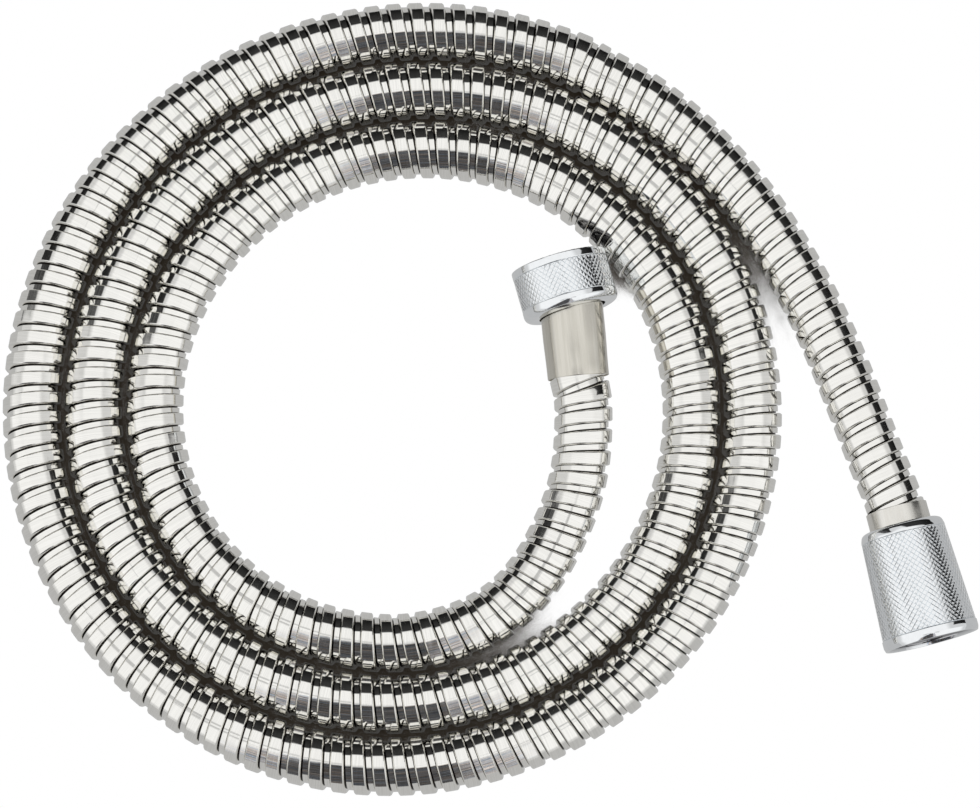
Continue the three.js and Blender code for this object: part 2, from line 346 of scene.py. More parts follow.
def windingTree():
    tree, given, made = newTree("stripWinding", {
        "Length": "Float", "Pitch": "Float", "Sides": "Int", "Section": "Object", "Section Points": "Int",
        "End Radius": "Float", "Bore": "Float", "Bore Rings": "Int", "Wander": "Float",
        "Wander Pace": "Float", "Drift": "Float", "Drift Pace": "Float", "Weld": "Float",
        "Edge Angle": "Float", "Material": "Material",
    })
    length, pitch, sides, perTurn = given["Length"], given["Pitch"], given["Sides"], given["Section Points"]
    turns = calc(tree, "CEIL", calc(tree, "DIVIDE", length, pitch))
    outerRows = calc(tree, "ADD", calc(tree, "MULTIPLY", calc(tree, "ADD", turns, 1), perTurn), 1)
    rows = calc(tree, "ADD", calc(tree, "ADD", outerRows, given["Bore Rings"]), 2)
    columns = calc(tree, "ADD", sides, 1)
    grid = addNode(tree, "GeometryNodeMeshGrid", {"Vertices X": rows, "Vertices Y": columns})
    row, column = gridCell(tree, columns)
    around = calc(tree, "DIVIDE", column, sides)

    # outside: the section, wound forward by one pitch for each time round
    turn = calc(tree, "FLOOR", calc(tree, "DIVIDE", calc(tree, "ADD", row, 0.5), perTurn))
    step = calc(tree, "SUBTRACT", row, calc(tree, "MULTIPLY", turn, perTurn))
    section = addNode(tree, "GeometryNodeObjectInfo", {"Object": given["Section"]}).outputs["Geometry"]
    share, sectionRadius, _ = sampleAt(tree, section, step)
    wound = calc(tree, "ADD", calc(tree, "SUBTRACT", calc(tree, "ADD", turn, share), 1), around)
    stray = addNode(tree, "ShaderNodeTexNoise", {
        "W": calc(tree, "MULTIPLY", wound, given["Drift Pace"]), "Scale": 1, "Detail": 2,
    }, noise_dimensions="1D").outputs[0]
    outerAlong = calc(tree, "ADD", calc(tree, "MULTIPLY", wound, pitch),
                      calc(tree, "MULTIPLY", calc(tree, "SUBTRACT", stray, 0.5), given["Drift"]))
    beyond = calc(tree, "ADD", calc(tree, "LESS_THAN", outerAlong, 0),
                  calc(tree, "GREATER_THAN", outerAlong, length))
    outerAlong = calc(tree, "MINIMUM", calc(tree, "MAXIMUM", outerAlong, 0), length)
    rise = addNode(tree, "ShaderNodeTexNoise", {
        "W": calc(tree, "MULTIPLY", wound, given["Wander Pace"]), "Scale": 1, "Detail": 1,
    }, noise_dimensions="1D").outputs[0]
    proud = calc(tree, "MULTIPLY", calc(tree, "SUBTRACT", rise, 0.5), given["Wander"])
    outerRadius = calc(tree, "ADD", sectionRadius, proud)
    outerRadius = mixValue(tree, beyond, outerRadius, given["End Radius"])

    # inside: plain rings that run back through the bore to the start
    ring = calc(tree, "SUBTRACT", row, outerRows)
    back = calc(tree, "SUBTRACT", 1, calc(tree, "DIVIDE", ring, given["Bore Rings"]))
    innerAlong = calc(tree, "MULTIPLY", length, calc(tree, "MAXIMUM", back, 0))
    closing = calc(tree, "GREATER_THAN", ring, calc(tree, "ADD", given["Bore Rings"], 0.5))
    innerRadius = mixValue(tree, closing, given["Bore"], given["End Radius"])
    inside = calc(tree, "GREATER_THAN", row, calc(tree, "SUBTRACT", outerRows, 0.5))
    along = mixValue(tree, inside, outerAlong, innerAlong)
    radius = mixValue(tree, inside, outerRadius, innerRadius)

    # bent along the route
    curve = addNode(tree, "GeometryNodeMeshToCurve", {"Mesh": given["Geometry"]}).outputs[0]
    curve = addNode(tree, "GeometryNodeSetCurveNormal", {"Curve": curve}, mode="Z_UP").outputs[0]
    sample = addNode(tree, "GeometryNodeSampleCurve", mode="LENGTH")
    feed(tree, sample.inputs["Curves"], curve)
    feed(tree, sample.inputs["Length"], along)
    side = sample.outputs["Normal"]
    up = vectorCalc(tree, "CROSS_PRODUCT", side, sample.outputs["Tangent"])
    angle = calc(tree, "MULTIPLY", around, -2 * math.pi)
    out = calc(tree, "MULTIPLY", radius, calc(tree, "COSINE", angle))
    lift = calc(tree, "MULTIPLY", radius, calc(tree, "SINE", angle))
    place = vectorCalc(tree, "ADD", sample.outputs["Position"], scaleVector(tree, side, out))
    place = vectorCalc(tree, "ADD", place, scaleVector(tree, up, lift))
    placed = addNode(tree, "GeometryNodeStoreNamedAttribute", {
        "Geometry": grid.outputs["Mesh"], "Name": "ownPlace", "Value": combine(tree, out, lift, along),
    }, data_type="FLOAT_VECTOR")
    shaped = addNode(tree, "GeometryNodeSetPosition", {"Geometry": placed.outputs[0], "Position": place})
    welded = addNode(tree, "GeometryNodeMergeByDistance", {
        "Geometry": shaped.outputs[0], "Distance": given["Weld"],
    })
    finishTree(tree, welded.outputs[0], given["Edge Angle"], given["Material"], made[0])
    return tree


def makeHose(material):
    route = hoseRoute()
    length = sum((b - a).length for a, b in zip(route, route[1:]))
    section = pointObject("stripSection", [(share, radius * mm, 0) for share, radius in winding["section"]])
    hose = runTree(pointObject("hoseLine", route, joined=True), windingTree(), {
        "Length": length, "Pitch": winding["pitch"] * mm, "Sides": winding["sides"], "Section": section,
        "Section Points": len(winding["section"]), "End Radius": winding["endRadius"] * mm,
        "Bore": winding["bore"] * mm, "Bore Rings": winding["boreRings"],
        "Wander": winding["wander"] * mm, "Wander Pace": winding["wanderPace"],
        "Drift": winding["drift"] * mm, "Drift Pace": winding["driftPace"], "Weld": winding["weld"] * mm,
        "Edge Angle": math.radians(winding["edgeAngle"]), "Material": material,
    }, "strip_wound_hose")
    bpy.data.objects.remove(section)
    return hose, route, length


# Finishes. Every piece but the inner tube carries "ownPlace": its place on its own straight axis

def newMaterial(name):
    material = bpy.data.materials.new(name)
    material.use_nodes = True
    return material, material.node_tree, material.node_tree.nodes["Principled BSDF"]


def ownPlace(tree):
    return addNode(tree, "ShaderNodeAttribute", attribute_name="ownPlace").outputs["Vector"]


smears = {"scale": 210, "share": (0.4, 0.7)}


def polishGroup():
    # what polishing and handling leave on bright metal: fine lines one way, faint smears, soft waviness
    tree = bpy.data.node_groups.new("polishMarks", "ShaderNodeTree")
    face = tree.interface
    for name, kind in {"Place": "Vector", "Line Scale": "Vector", "Line Depth": "Float",
                       "Wave Size": "Float", "Wave Depth": "Float"}.items():
        face.new_socket(name, in_out="INPUT", socket_type="NodeSocket" + kind)
    for name, kind in {"Smear": "Float", "Lines": "Float", "Normal": "Vector"}.items():
        face.new_socket(name, in_out="OUTPUT", socket_type="NodeSocket" + kind)
    given = tree.nodes.new("NodeGroupInput").outputs
    made = tree.nodes.new("NodeGroupOutput").inputs
    lined = vectorCalc(tree, "MULTIPLY", given["Place"], given["Line Scale"])
    lines = addNode(tree, "ShaderNodeTexNoise", {"Vector": lined, "Scale": 1, "Detail": 3, "Roughness": 0.6})
    smeared = addNode(tree, "ShaderNodeTexNoise", {
        "Vector": given["Place"], "Scale": smears["scale"], "Detail": 4,
    })
    waves = addNode(tree, "ShaderNodeTexNoise", {
        "Vector": given["Place"], "Scale": calc(tree, "DIVIDE", 1, given["Wave Size"]), "Detail": 1,
    })
    height = calc(tree, "ADD", calc(tree, "MULTIPLY", lines.outputs[0], given["Line Depth"]),
                  calc(tree, "MULTIPLY", waves.outputs[0], given["Wave Depth"]))
    bump = addNode(tree, "ShaderNodeBump", {"Height": height, "Strength": 1, "Distance": 1})
    tree.links.new(shareOf(tree, smeared.outputs[0], *smears["share"]), made["Smear"])
    tree.links.new(lines.outputs[0], made["Lines"])
    tree.links.new(bump.outputs[0], made["Normal"])
    return tree


polish = polishGroup()
lineShare = (0.35, 0.65)  # of the line noise, from the dark to the light tone


def brightMetal(name, look, shadeOf=None):
    # shadeOf gives the share, from 0 to 1, by which the metal falls to its look's shaded tone, a painted
    # shade in its base colour
    material, tree, shader = newMaterial(name)
    place = ownPlace(tree)
    marks = addNode(tree, "ShaderNodeGroup", node_tree=polish)
    feed(tree, marks.inputs["Place"], place)
    feed(tree, marks.inputs["Line Scale"], look["lineScale"])
    for socket, size in (("Line Depth", "lineDepth"), ("Wave Size", "waveSize"), ("Wave Depth", "waveDepth")):
        feed(tree, marks.inputs[socket], look[size] * mm)
    worn = calc(tree, "MULTIPLY", marks.outputs["Smear"], look["smear"])
    tone = mixColour(tree, shareOf(tree, marks.outputs["Lines"], *lineShare), look["dark"], look["light"])
    if shadeOf:
        tone = mixColour(tree, shadeOf(tree, place), tone, look["shaded"])
    low, high = look["roughness"]
    tree.links.new(mixValue(tree, worn, low, high), shader.inputs["Roughness"])
    tree.links.new(marks.outputs["Normal"], shader.inputs["Normal"])
    tree.links.new(tone, shader.inputs["Base Color"])
    shader.inputs["Metallic"].default_value = 1
    return material


def paintedGrooveShade(tree, place):
    # painted shade: how deep a spot lies in the gap between turns, which turns the strip's base colour dark
    # there
    x, y, _ = splitVector(tree, place)
    square = calc(tree, "ADD", calc(tree, "MULTIPLY", x, x), calc(tree, "MULTIPLY", y, y))
    radius = calc(tree, "SQRT", square)
    shallow, deep = steelLook["gapDepth"]
    return shareOf(tree, radius, shallow * mm, deep * mm)


def boreShadeAndPlating(tree, place):
    # painted shade and thinner plating: the nuts' mesh marks its own inside, where the base colour falls
    # darker
    return addNode(tree, "ShaderNodeAttribute", attribute_name="inside").outputs["Fac"]


# tones of the fine lines, roughness from clean to smeared, lines' scale along x, y, z, depths in mm

steelLook = {
    "light": (0.93, 0.92, 0.885, 1), "dark": (0.86, 0.85, 0.815, 1), "roughness": (0.05, 0.16), "smear": 0.6,
    "lineScale": (60, 60, 5000), "lineDepth": 0.0004, "waveSize": 3.5, "waveDepth": 0.012,
    "gapDepth": (5.98, 5.65),  # mm of radius over which the gap between turns is painted dark, a painted shade
    # painted shade: the base colour that the gap between turns falls to
    "shaded": (0.032, 0.028, 0.023, 1),
}
chromeLook = {
    "light": (0.90, 0.92, 0.935, 1), "dark": (0.87, 0.89, 0.905, 1), "roughness": (0.03, 0.09), "smear": 0.5,
    "lineScale": (900, 900, 900), "lineDepth": 0.0001, "waveSize": 6, "waveDepth": 0.004,
    "shaded": (0.34, 0.34, 0.35, 1),  # painted shade inside the nut, and its thinner plate there
}
nickelLook = {
    "light": (0.70, 0.675, 0.61, 1), "dark": (0.64, 0.615, 0.55, 1), "roughness": (0.17, 0.26), "smear": 0.8,
    "lineScale": (1100, 1100, 40), "lineDepth": 0.0004, "waveSize": 5, "waveDepth": 0.008,
}
brightNickelLook = {
    "light": (0.80, 0.785, 0.74, 1), "dark": (0.76, 0.74, 0.69, 1), "roughness": (0.22, 0.30), "smear": 0.7,
    "lineScale": (700, 700, 60), "lineDepth": 0.0002, "waveSize": 5, "waveDepth": 0.010,
}
brassLook = {
    "light": (0.80, 0.60, 0.28, 1), "dark": (0.66, 0.48, 0.22, 1), "roughness": (0.25, 0.42), "smear": 0.8,
    "lineScale": (60, 60, 3000), "lineDepth": 0.002, "waveSize": 5, "waveDepth": 0.001,
}
rubberLook = {
    "dark": (0.012, 0.012, 0.013, 1), "light": (0.030, 0.030, 0.031, 1), "roughness": (0.55, 0.8),
    "grain": 0.35, "depth": 0.02, "bloomScale": 160, "bloomShare": (0.35, 0.7),
}


def rubber(name):
    material, tree, shader = newMaterial(name)
    where = addNode(tree, "ShaderNodeTexCoord").outputs["Object"]
    grain = addNode(tree, "ShaderNodeTexNoise", {
        "Vector": where, "Scale": 1 / (rubberLook["grain"] * mm), "Detail": 3,
    })
    bloom = addNode(tree, "ShaderNodeTexNoise", {
        "Vector": where, "Scale": rubberLook["bloomScale"], "Detail": 2,
    })
    tone = mixColour(tree, shareOf(tree, bloom.outputs[0], *rubberLook["bloomShare"]),
                     rubberLook["dark"], rubberLook["light"])
    bump = addNode(tree, "ShaderNodeBump", {
        "Height": grain.outputs[0], "Strength": 1, "Distance": rubberLook["depth"] * mm,
    })
    tree.links.new(tone, shader.inputs["Base Color"])
    tree.links.new(bump.outputs[0], shader.inputs["Normal"])
    tree.links.new(mixValue(tree, grain.outputs[0], *rubberLook["roughness"]), shader.inputs["Roughness"])
    return material


# Fittings, each built on its own axis and then set on the frame's

ends = {
    "round_nut": {"mouth": hoseLay["innerMouth"], "way": (hoseLay["innerLean"], hoseLay["innerPitch"])},
    "cone_nut": {"mouth": hoseLay["tailMouth"], "way": (hoseLay["tailLean"], 0)},
}


def ferruleAxis(end):
    # start and direction of a ferrule, from the hose's side
    start = (Vector(ends[end]["mouth"]) + Vector(hoseLay["drawingZero"])) * mm
    return start, direction(*ends[end]["way"])


def nutAxis(end):
    # the spin joint gives the line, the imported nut's own extent along it the start
    joint = next(j for j in frame["joints"] if j["child"] == end + "_body")
    point, way = Vector(joint["pos_m"]), Vector(joint["axis"]).normalized()
    node = frame["nodes"][end]
    lowest = min((node.matrix_world @ v.co - point).dot(way) for v in node.data.vertices)
    return point + way * lowest, way


turned = {"filletSteps": 5, "edgeAngle": 30}


def softened(corners):
    # an outline of (radius, along, fillet) with its corners rounded off
    steps = turned["filletSteps"]
    points = []
    count = len(corners)
    for i, (radius, along, fillet) in enumerate(corners):
        corner = Vector((radius, along))
        before = Vector(corners[i - 1][:2]) - corner
        after = Vector(corners[(i + 1) % count][:2]) - corner
        if not fillet:
            points.append(corner)
            continue
        reach = min(fillet, before.length / 2, after.length / 2)
        start, end = corner + before.normalized() * reach, corner + after.normalized() * reach
        for step in range(steps + 1):
            t = step / steps
            points.append(start * (1 - t) ** 2 + corner * 2 * t * (1 - t) + end * t ** 2)
    return [(p.x, p.y) for p in points]


def turnedMesh(name, outline, sides):
    # a closed outline of (radius, along) in mm, turned about z
    area = sum(a[0] * b[1] - b[0] * a[1] for a, b in zip(outline, outline[1:] + outline[:1]))
    if area < 0:
        outline = outline[::-1]
    angles = [2 * math.pi * i / sides for i in range(sides)]
    points = [(r * mm * math.cos(a), r * mm * math.sin(a), z * mm) for r, z in outline for a in angles]
    faces = []
    for i in range(len(outline)):
        low, high = i * sides, (i + 1) % len(outline) * sides
        for j in range(sides):
            k = (j + 1) % sides
            faces.append((low + j, low + k, high + k, high + j))
    mesh = bpy.data.meshes.new(name)
    mesh.from_pydata(points, [], faces)
    own = mesh.attributes.new("ownPlace", "FLOAT_VECTOR", "POINT")
    own.data.foreach_set("vector", [value for point in points for value in point])
    mesh.shade_smooth()
    mesh.set_sharp_from_angle(angle=math.radians(turned["edgeAngle"]))
    return mesh


def addPiece(name, mesh, axis, body, node, material=None):
    # a mesh built up +Z from its own zero is set on its line and given to the frame
    start, way = axis
    turn = Vector((0, 0, 1)).rotation_difference(way).to_matrix().to_4x4()
    mesh.transform(Matrix.Translation(start) @ turn)
    if material:
        mesh.materials.append(material)
    piece = bpy.data.objects.get(name) or bpy.data.objects.new(name, mesh)
    if name not in bpy.context.scene.collection.objects:
        bpy.context.scene.collection.objects.link(piece)
    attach(piece, body)
    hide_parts(node)
    return piece


ferrule = {
    "length": 19.5, "mouthRadius": 7.4, "waistRadius": 7.45, "radius": 7.6, "taperEnd": 9, "wall": 0.3,
    "lip": 0.6, "hole": 4.9, "sides": 96,
    "fillets": {"inner": 0.1, "mouth": 0.25, "taper": 2, "back": 0.5},
}


def makeFerrule(end, material):
    length, radius, hole, fillet = ferrule["length"], ferrule["radius"], ferrule["hole"], ferrule["fillets"]
    mouth, taperEnd = ferrule["mouthRadius"], ferrule["taperEnd"]
    inner, throat, lipStart = mouth - ferrule["wall"], radius - ferrule["wall"], length - ferrule["lip"]
    outline = softened((
        (inner, 0, fillet["inner"]), (mouth, 0, fillet["mouth"]),
        (ferrule["waistRadius"], taperEnd / 2, fillet["taper"]), (radius, taperEnd, fillet["taper"]),
        (radius, length, fillet["back"]), (hole, length, fillet["inner"]), (hole, lipStart, fillet["inner"]),
        (throat, lipStart, fillet["inner"]), (throat, taperEnd, 0), (inner, taperEnd / 2, 0),
    ))
    name = end + "_crimp_ferrule"
    return addPiece(name, turnedMesh(name, outline, ferrule["sides"]), ferruleAxis(end), "hose",
                    end + "_ferrule", material)


stem = {
    "tip": 2, "bore": 2.6, "tipBore": 2.9, "tipBevel": 0.3,
    "barb": 3.55, "root": 3.1, "barbs": 4, "barbPitch": 2.6,
    "barbSlope": 0.8,  # share of a barb's length that rises
    "neck": 4.6, "neckStart": 17.8, "flangeStart": 19.8, "flange": 8.8, "flangeEnd": 21,
    "mouthBore": 3.0, "mouthBevel": 0.5, "sides": 96,
}


def makeStem(end, material):
    tip, root, neck, flangeEnd = stem["tip"], stem["root"], stem["neck"], stem["flangeEnd"]
    corners = [(stem["tipBore"], tip, 0), (root, tip, 0.1)]
    for barb in range(stem["barbs"]):
        start = tip + barb * stem["barbPitch"]
        corners += [(stem["barb"], start + stem["barbPitch"] * stem["barbSlope"], 0.06),
                    (root, start + stem["barbPitch"], 0.06)]
    corners += [
        (root, stem["neckStart"], 0.1), (neck, stem["neckStart"], 0.2), (neck, stem["flangeStart"], 0.15),
        (stem["flange"], stem["flangeStart"], 0.2), (stem["flange"], flangeEnd, 0.3),
        (stem["mouthBore"], flangeEnd, 0.1), (stem["bore"], flangeEnd - stem["mouthBevel"], 0.2),
        (stem["bore"], tip + stem["tipBevel"], 0.1),
    ]
    name = end + "_barbed_stem"
    return addPiece(name, turnedMesh(name, softened(corners), stem["sides"]), ferruleAxis(end), "hose",
                    end + "_stem", material)


washer = {
    "radius": 9, "bore": 5.2, "fillet": 0.4, "sides": 96,
    "round_nut": (6.893, 8.493), "cone_nut": (17.0, 18.6),  # where it lies in its nut
}


def makeWasher(end, material):
    start, stop = washer[end]
    edge = washer["fillet"]
    outline = softened(((washer["bore"], start, edge), (washer["radius"], start, edge),
                        (washer["radius"], stop, edge), (washer["bore"], stop, edge)))
    name = end + "_rubber_washer"
    return addPiece(name, turnedMesh(name, outline, washer["sides"]), nutAxis(end), end + "_body",
                    end + "_washer", material)


# Union nuts: a turned body whose knurled band is a field of raised diamonds pressed round it

thread = {
    "crest": 9.3, "depth": 1.05, "pitch": 1.814, "rowsPerPitch": 8, "leadIn": 0.7,
    "flank": (0.05, 0.95),  # share of the half pitch over which it falls from crest to root
}
nutFinish = {"edgeAngle": 20, "weld": 0.012}
nuts = {
    "round_nut": {
        "across": 56, "rows": 5,  # diamonds
        "knurl": (2.95, 10.75), "knurlRadius": (11.66, 11.66), "depth": 0.22,
        "diamond": ((0.5, 0), (0.42, 0.7), (0.1, 1)),  # half width and height of its levels
        "threadFrom": 5.3, "length": 12.8,
        "holeEdge": 0.2,  # below this the bore turns into the back face
        "outside": (  # (radius, along, fillet) from the knurl's mouth end to the mouth
            (11.42, 10.82, 0.05), (11.7, 10.98, 0.12), (11.7, 12.8, 0.3), (10.8, 12.8, 0.1),
        ),
        "inside": (  # from the thread's end by way of the bore and back face to the knurl's other end
            (9.3, 5.0, 0.1), (10.4, 5.0, 0.2), (10.4, 1.8, 0.3), (8.21, 1.8, 0.15), (8.21, 0, 0.25),
            (10.05, 0, 0.35), (11.15, 0.35, 0.8), (11.7, 1.2, 0.5), (11.7, 2.72, 0.12), (11.42, 2.88, 0.05),
        ),
    },
    "cone_nut": {
        "across": 50, "rows": 16,
        "knurl": (2.55, 25.85), "knurlRadius": (10.24, 11.42), "depth": 0.23,
        "diamond": ((0.5, 0), (0.425, 0.76), (0.12, 1)),
        "threadFrom": 15.6, "length": 28.6, "holeEdge": 0.2,
        "outside": (
            (11.24, 25.92, 0.05), (11.6, 26.05, 0.15), (11.6, 27.7, 0.3), (11.3, 28.6, 0.15),
            (10.8, 28.6, 0.1),
        ),
        "inside": (
            (9.3, 15.2, 0.1), (7.9, 15.2, 0.15), (7.9, 0, 0.25), (8.75, 0, 0.5), (9.8, 0.5, 0.8),
            (10.22, 1.9, 0.5), (10.26, 2.38, 0.1), (10.02, 2.5, 0.05),
        ),
    },
}


def threadRows(nut):
    # the threaded stretch as (radius, along, share of the thread's full depth)
    step = thread["pitch"] / thread["rowsPerPitch"]
    top, bottom = nut["length"] - thread["leadIn"], nut["threadFrom"]
    count = int((top - bottom) / step)
    rows = []
    for i in range(count + 1):
        along = top - (top - bottom) * i / count
        opening = min(1, (top - along) / thread["pitch"] * 2)
        share = min(opening, (along - bottom) / thread["pitch"] * 2)
        rows.append((thread["crest"] + thread["depth"] * (1 - opening), along, share))
    return rows


def nutTree():
    tree, given, made = newTree("knurledNut", {
        "Outline Points": "Int", "Across": "Int", "Rows": "Int", "Diamond": "Object", "Knurl Start": "Float",
        "Knurl End": "Float", "Start Radius": "Float", "End Radius": "Float", "Knurl Depth": "Float",
        "Thread Depth": "Float", "Thread Pitch": "Float", "Flank Start": "Float", "Flank End": "Float",
        "Inside From": "Int", "Inside To": "Int", "Weld": "Float", "Edge Angle": "Float",
        "Material": "Material",
    })
    # turned body, open where the knurl goes
    columns = calc(tree, "ADD", calc(tree, "MULTIPLY", given["Across"], 2), 1)
    outlineSize = given["Outline Points"]
    grid = addNode(tree, "GeometryNodeMeshGrid", {"Vertices X": outlineSize, "Vertices Y": columns})
    row, column = gridCell(tree, columns)
    radius, along, threaded = sampleAt(tree, given["Geometry"], row)
    around = calc(tree, "DIVIDE", column, calc(tree, "MULTIPLY", given["Across"], 2))
    phase = calc(tree, "SUBTRACT", calc(tree, "DIVIDE", along, given["Thread Pitch"]), around)
    wave = calc(tree, "MULTIPLY", calc(tree, "PINGPONG", phase, 0.5), 2)
    cut = calc(tree, "MULTIPLY", calc(tree, "MULTIPLY", threaded, given["Thread Depth"]),
               shareOf(tree, wave, given["Flank Start"], given["Flank End"]))
    # the nut's inside, marked for its painted shade and thinner plating
    inside = between(tree, row, given["Inside From"], given["Inside To"], 0.1)
    marked = addNode(tree, "GeometryNodeStoreNamedAttribute", {
        "Geometry": grid.outputs["Mesh"], "Name": "inside", "Value": inside,
    })
    body = wrapRound(tree, marked.outputs[0], around, calc(tree, "ADD", radius, cut), along)

    # diamonds on every other point of a flat lattice: x counts across, y along, z is height
    latticeColumns = calc(tree, "MULTIPLY", given["Across"], 2)
    latticeRows = calc(tree, "ADD", calc(tree, "MULTIPLY", given["Rows"], 2), 1)
    lattice = addNode(tree, "GeometryNodeMeshGrid", {
        "Vertices X": latticeRows, "Vertices Y": latticeColumns,
    })
    step, place = gridCell(tree, latticeColumns)
    spots = addNode(tree, "GeometryNodeSetPosition", {
        "Geometry": lattice.outputs["Mesh"],
        "Position": combine(tree, calc(tree, "DIVIDE", place, 2), calc(tree, "DIVIDE", step, 2), 0.0),
    })
    odd = calc(tree, "MODULO", calc(tree, "ADD", step, place), 2)
    chosen = addNode(tree, "FunctionNodeCompare", {"A": odd, "B": 0.5}, operation="LESS_THAN")
    diamond = addNode(tree, "GeometryNodeObjectInfo", {"Object": given["Diamond"]}).outputs["Geometry"]
    instances = addNode(tree, "GeometryNodeInstanceOnPoints", {
        "Points": spots.outputs[0], "Selection": chosen.outputs[0], "Instance": diamond,
    })
    field = addNode(tree, "GeometryNodeRealizeInstances", {"Geometry": instances.outputs[0]}).outputs[0]
    across, up, height = splitVector(tree, addNode(tree, "GeometryNodeInputPosition").outputs[0])
    upWithin = calc(tree, "MINIMUM", calc(tree, "MAXIMUM", up, 0), given["Rows"])
    share = calc(tree, "DIVIDE", upWithin, given["Rows"])
    valley = calc(tree, "SUBTRACT", mixValue(tree, share, given["Start Radius"], given["End Radius"]),
                  given["Knurl Depth"])
    knurl = wrapRound(
        tree, field, calc(tree, "DIVIDE", across, given["Across"]),
        calc(tree, "ADD", valley, calc(tree, "MULTIPLY", height, given["Knurl Depth"])),
        mixValue(tree, share, given["Knurl Start"], given["Knurl End"]))
    joined = addNode(tree, "GeometryNodeJoinGeometry")
    tree.links.new(body, joined.inputs[0])
    tree.links.new(knurl, joined.inputs[0])
    welded = addNode(tree, "GeometryNodeMergeByDistance", {
        "Geometry": joined.outputs[0], "Distance": given["Weld"],
    })
    finishTree(tree, welded.outputs[0], given["Edge Angle"], given["Material"], made[0])
    return tree


def wrapRound(tree, mesh, around, radius, along):
    angle = calc(tree, "MULTIPLY", around, 2 * math.pi)
    place = combine(tree, calc(tree, "MULTIPLY", radius, calc(tree, "COSINE", angle)),
                    calc(tree, "MULTIPLY", radius, calc(tree, "SINE", angle)), along)
    kept = addNode(tree, "GeometryNodeStoreNamedAttribute", {
        "Geometry": mesh, "Name": "ownPlace", "Value": place,
    }, data_type="FLOAT_VECTOR")
    moved = addNode(tree, "GeometryNodeSetPosition", {"Geometry": kept.outputs[0], "Position": place})
    return moved.outputs[0]


def diamondObject(levels):
    # one raised diamond, a pitch wide and long, from (half width, height) of its levels, rim first
    points, faces = [], []
    for level, (half, height) in enumerate(levels):
        points += [(half, 0, height), (0, half, height), (-half, 0, height), (0, -half, height)]
        if level:
            low, high = 4 * level - 4, 4 * level
            faces += [(low + i, low + (i + 1) % 4, high + (i + 1) % 4, high + i) for i in range(4)]
    faces.append(tuple(range(len(points) - 4, len(points))))
    mesh = bpy.data.meshes.new("diamond")
    mesh.from_pydata(points, [], faces)
    item = bpy.data.objects.new("diamond", mesh)
    bpy.context.scene.collection.objects.link(item)
    return item


def makeNut(end, tree, material):
    # one outline from the knurl's mouth end through mouth, thread and bore to its other end
    nut = nuts[end]
    startRadius, endRadius = nut["knurlRadius"]
    knurlStart, knurlEnd = nut["knurl"]
    threaded = threadRows(nut)
    mouthSide = softened(((endRadius - nut["depth"], knurlEnd, 0), *nut["outside"], threaded[0]))
    boreSide = softened((threaded[-1], *nut["inside"], (startRadius - nut["depth"], knurlStart, 0)))
    outline = [(r, z, 0) for r, z in mouthSide[:-1]] + threaded + [(r, z, 0) for r, z in boreSide[1:]]
    points = [(r * mm, z * mm, share) for r, z, share in outline]
    # rows inside the nut that take the painted shade and thinner plating
    insideFrom = len(mouthSide) - 1
    insideTo = next(i for i in range(insideFrom, len(outline)) if outline[i][1] < nut["holeEdge"])
    diamond = diamondObject(nut["diamond"])
    name = end + "_knurled"
    piece = runTree(pointObject(name + "Outline", points), tree, {
        "Outline Points": len(points), "Across": nut["across"], "Rows": nut["rows"], "Diamond": diamond,
        "Knurl Start": knurlStart * mm, "Knurl End": knurlEnd * mm, "Start Radius": startRadius * mm,
        "End Radius": endRadius * mm, "Knurl Depth": nut["depth"] * mm, "Thread Depth": thread["depth"] * mm,
        "Thread Pitch": thread["pitch"] * mm,
        "Flank Start": thread["flank"][0], "Flank End": thread["flank"][1],
        "Inside From": insideFrom, "Inside To": insideTo, "Weld": nutFinish["weld"] * mm,
        "Edge Angle": math.radians(nutFinish["edgeAngle"]), "Material": material,
    }, name)
    bpy.data.objects.remove(diamond)
    return addPiece(name, piece.data, nutAxis(end), end + "_body", end)


# Studio: white table and dome; the bright metal also sees the flags and soft boxes round it

studio = {  # azimuths and elevations in degrees, as seen from the hose
    "tableSize": 1.6,
    "paper": {"tone": (0.8, 0.8, 0.8, 1), "roughness": 0.9},
    "lapAt": 165,  # for a card that starts below 0, azimuths past this count as negative
    "sheen": 0.51,  # share of the table's light that the metal sees
    "dome": 0.68,
    "farDome": {"azimuth": (2, 172), "elevation": (50, 95), "soft": 8, "tone": 0.97},
    "leftBox": {"azimuth": (-192, -88), "elevation": (10, 95), "soft": 6, "tone": 0.99},
    "rightBox": {"azimuth": (-98, 6), "elevation": (10, 95), "soft": 6, "tone": 1.0},
    "overhead": {"azimuth": (-172, -8), "elevation": (65, 84), "soft": 4, "tone": 0.58},
    "nearHaze": {"azimuth": (-119, -68), "elevation": (-5, 72), "soft": 3, "tone": 0.40},
    "nearGap": {"azimuth": (-112, -77), "elevation": (-5, 77), "soft": 2.5, "tone": 0.075},
    "mottle": {  # unevenness of the near gap
        "scale": (15, 15, 22), "spread": 9, "cool": (0.80, 0.95, 1.16, 1), "warm": (1.18, 1.0, 0.88, 1),
        "tintShare": (0.4, 0.6),
    },
    "farFlag": {
        "top": (  # azimuth, height of the card's upper edge
            (18, -10), (21, 36), (30, 30), (45, 38), (60, 47), (75, 52), (90, 53), (105, 49), (120, 42),
            (135, 29), (143, 29), (149, 44), (156, 40), (160, -10),
        ),
        "bottom": -3, "soft": 2.5,
        "tone": (0.010, 0.035), "crownAt": 50,  # at its foot and at its crown
        "worn": (148, 158), "wornTone": 0.15,  # azimuth over which the card turns to a paler, patchy one
    },
    "patches": {"scale": 6, "share": (0.50, 0.56)},  # holes in the overhead card
    "bounce": 0.1,  # share of full light that the metal sees even in the gaps, where it lightens the table's painted shadow
    "paintedShadowReach": 0.012,  # metres that the painted shadow on the table looks out
    "paintedShadowTones": (  # share of open sky above a spot, tone of the painted shadow there
        (0.04, (0.012, 0.009, 0.006)), (0.14, (0.030, 0.025, 0.019)), (0.21, (0.14, 0.13, 0.12)),
        (0.28, (1.0, 1.0, 1.0)),
    ),
}


